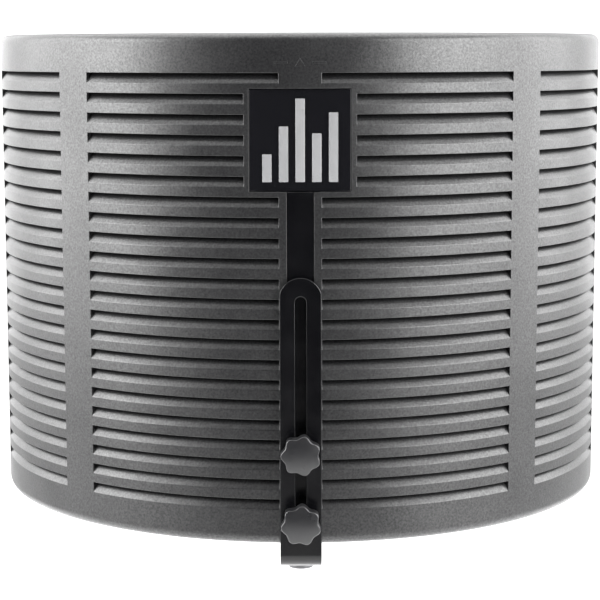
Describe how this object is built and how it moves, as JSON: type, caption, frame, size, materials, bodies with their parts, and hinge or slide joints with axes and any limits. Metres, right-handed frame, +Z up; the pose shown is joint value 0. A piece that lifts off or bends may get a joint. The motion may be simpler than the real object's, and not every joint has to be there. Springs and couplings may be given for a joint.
{
  "type": "microphone isolation shield",
  "caption": "Half-round louvred acoustic shield with layered absorbers, on a slotted steel bracket with star knobs, a stand socket and a sliding microphone post.",
  "frame": {"origin": "centre of the stand socket's mouth, on its axis", "axes": "+X along the shield's width, to the right when the louvred rear is seen; +Y towards the open side where the microphone stands; +Z up, so the microphone stand's thread enters along +Z"},
  "size_m": [0.4, 0.2326, 0.341],
  "materials": {
    "shell_plastic": "fine moulded grain, satin",
    "frame_plastic": "fine moulded grain",
    "foam": "open-cell acoustic foam",
    "wool": "pressed fibre",
    "sheet_aluminium": "mill finish",
    "badge_plastic": "polished black",
    "emblem_metal": "brushed, bright edges",
    "black_steel": "smooth black powder coat",
    "plated_steel": "zinc plated",
    "socket_steel": "bright plated",
    "nylon": "smooth black nylon",
    "knob_plastic": "smooth satin black",
    "washer_rubber": "matte",
    "insert_brass": "turned"
  },
  "bodies": {
    "bracket": {"support_bracket": "black_steel", "stand_socket": "socket_steel", "socket_washer": "plated_steel", "socket_nut": "plated_steel"},
    "shield": {"outer_shell": "shell_plastic", "front_frame": "frame_plastic", "frame_screws": "plated_steel", "absorber_foam": "foam", "gap_spacers": "frame_plastic", "perforated_sheet": "sheet_aluminium", "rear_wool": "wool", "badge_plate": "badge_plastic", "badge_emblem": "emblem_metal", "mounting_rail": "black_steel", "rail_screws": "plated_steel", "rail_nuts": "plated_steel"},
    "upper_clamp": {"upper_washer": "nylon"},
    "upper_handle": {"upper_stud": "plated_steel", "upper_knob": "knob_plastic"},
    "lower_clamp": {"lower_washer": "nylon"},
    "lower_handle": {"lower_stud": "plated_steel", "lower_knob": "knob_plastic"},
    "post": {"mic_post": "socket_steel", "post_base_washer": "washer_rubber"},
    "post_clamp": {"post_washer": "nylon"},
    "post_handle": {"post_knob": "knob_plastic", "post_knob_insert": "insert_brass"},
    "clip_seat": {"clip_washer": "washer_rubber"},
    "lock_ring": {"post_lock_nut": "socket_steel"}
  },
  "joints": [
    {"name": "shield_height", "type": "slide", "parent": "bracket", "child": "shield", "axis": [0, 0, 1], "range_m": [0, 0.0874]},
    {"name": "upper_screw_travel", "type": "slide", "parent": "shield", "child": "upper_clamp", "axis": [0, -1, 0], "range_m": [0, 0.0015]},
    {"name": "upper_knob_turn", "type": "hinge", "parent": "upper_clamp", "child": "upper_handle", "pos_m": [0, -0.11, 0.09865], "axis": [0, -1, 0], "range_deg": [0, 541]},
    {"name": "lower_screw_travel", "type": "slide", "parent": "shield", "child": "lower_clamp", "axis": [0, -1, 0], "range_m": [0, 0.0015]},
    {"name": "lower_knob_turn", "type": "hinge", "parent": "lower_clamp", "child": "lower_handle", "pos_m": [0, -0.11, 0.05745], "axis": [0, -1, 0], "range_deg": [0, 541]},
    {"name": "post_travel", "type": "slide", "parent": "bracket", "child": "post", "axis": [0, 1, 0], "range_m": [-0.031, 0.045]},
    {"name": "post_screw_travel", "type": "slide", "parent": "post", "child": "post_clamp", "axis": [0, 0, -1], "range_m": [0, 0.00187]},
    {"name": "post_knob_turn", "type": "hinge", "parent": "post_clamp", "child": "post_handle", "pos_m": [0, 0.055, 0.02], "axis": [0, 0, -1], "range_deg": [0, 541]},
    {"name": "lock_ring_travel", "type": "slide", "parent": "post", "child": "clip_seat", "axis": [0, 0, 1], "range_m": [0, 0.00141]},
    {"name": "lock_ring_turn", "type": "hinge", "parent": "clip_seat", "child": "lock_ring", "pos_m": [0, 0.055, 0.04], "axis": [0, 0, 1], "range_deg": [0, 541]}
  ],
  "couplings": [
    {"joint": "upper_knob_turn", "follows": "upper_screw_travel", "rad_per_m": 6283.2},
    {"joint": "lower_knob_turn", "follows": "lower_screw_travel", "rad_per_m": 6283.2},
    {"joint": "post_knob_turn", "follows": "post_screw_travel", "rad_per_m": 5026.6},
    {"joint": "lock_ring_turn", "follows": "lock_ring_travel", "rad_per_m": 6679}
  ]
}
